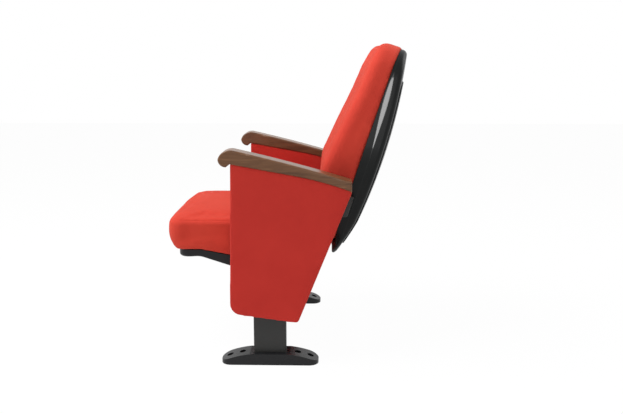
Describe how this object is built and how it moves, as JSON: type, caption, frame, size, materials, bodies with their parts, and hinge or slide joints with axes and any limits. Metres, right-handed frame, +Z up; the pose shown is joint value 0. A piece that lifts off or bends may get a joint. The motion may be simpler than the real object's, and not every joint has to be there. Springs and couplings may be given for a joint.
{
  "type": "auditorium seat",
  "caption": "Floor-mounted tip-up auditorium seat: padded seat and back in moulded shells between two upholstered standards with wooden armrests on column feet.",
  "frame": {"origin": "on the floor at the centre of the anchor holes of the two feet", "axes": "+X to the sitter's left, +Y to the rear so that the seat faces -Y, +Z up"},
  "size_m": [0.65, 0.7401, 0.9744],
  "materials": {
    "cast_foot": "satin",
    "column_paint": "satin",
    "plywood": "matte",
    "red_fabric": "matte",
    "foam": "matte",
    "armrest_wood": "gloss",
    "zinc_steel": "satin",
    "steel_pin": "polished",
    "black_screw": "satin",
    "bush_plastic": "satin",
    "black_rubber": "matte",
    "black_frame": "satin",
    "black_plastic": "satin"
  },
  "bodies": {
    "stand": {"back_board": "plywood", "back_cover": "red_fabric", "back_foam": "foam", "back_shell": "black_plastic", "back_shell_screws": "black_screw", "left_armrest": "armrest_wood", "left_armrest_plate": "column_paint", "left_armrest_screws": "zinc_steel", "left_axle_clip": "zinc_steel", "left_back_bolts": "zinc_steel", "left_back_bracket": "column_paint", "left_board_screws": "zinc_steel", "left_bracket_bolts": "zinc_steel", "left_column": "column_paint", "left_edge_rails": "plywood", "left_foot": "cast_foot", "left_hinge_bolts": "zinc_steel", "left_hinge_plate": "column_paint", "left_inner_board": "plywood", "left_outer_board": "plywood", "left_pivot_axle": "steel_pin", "left_return_spring": "zinc_steel", "left_side_cover": "red_fabric", "left_stop_buffer": "black_rubber", "left_stop_pin": "steel_pin", "right_armrest": "armrest_wood", "right_armrest_plate": "column_paint", "right_armrest_screws": "zinc_steel", "right_axle_clip": "zinc_steel", "right_back_bolts": "zinc_steel", "right_back_bracket": "column_paint", "right_board_screws": "zinc_steel", "right_bracket_bolts": "zinc_steel", "right_column": "column_paint", "right_edge_rails": "plywood", "right_foot": "cast_foot", "right_hinge_bolts": "zinc_steel", "right_hinge_plate": "column_paint", "right_inner_board": "plywood", "right_outer_board": "plywood", "right_pivot_axle": "steel_pin", "right_return_spring": "zinc_steel", "right_side_cover": "red_fabric", "right_stop_buffer": "black_rubber", "right_stop_pin": "steel_pin"},
    "seat": {"left_pivot_bush": "bush_plastic", "left_seat_arm": "black_frame", "left_seat_arm_bolts": "zinc_steel", "right_pivot_bush": "bush_plastic", "right_seat_arm": "black_frame", "right_seat_arm_bolts": "zinc_steel", "seat_board": "plywood", "seat_cover": "red_fabric", "seat_foam": "foam", "seat_frame": "black_frame", "seat_frame_screws": "zinc_steel", "seat_pan": "black_plastic", "seat_pan_screws": "black_screw"}
  },
  "joints": [
    {"name": "seat_tip", "type": "hinge", "parent": "stand", "child": "seat", "pos_m": [0, 0.055, 0.345], "axis": [-1, 0, 0], "range_deg": [0, 75], "stiffness_Nm_per_rad": 8, "springref_deg": 108.86, "deforming": ["left_return_spring", "right_return_spring"]}
  ]
}
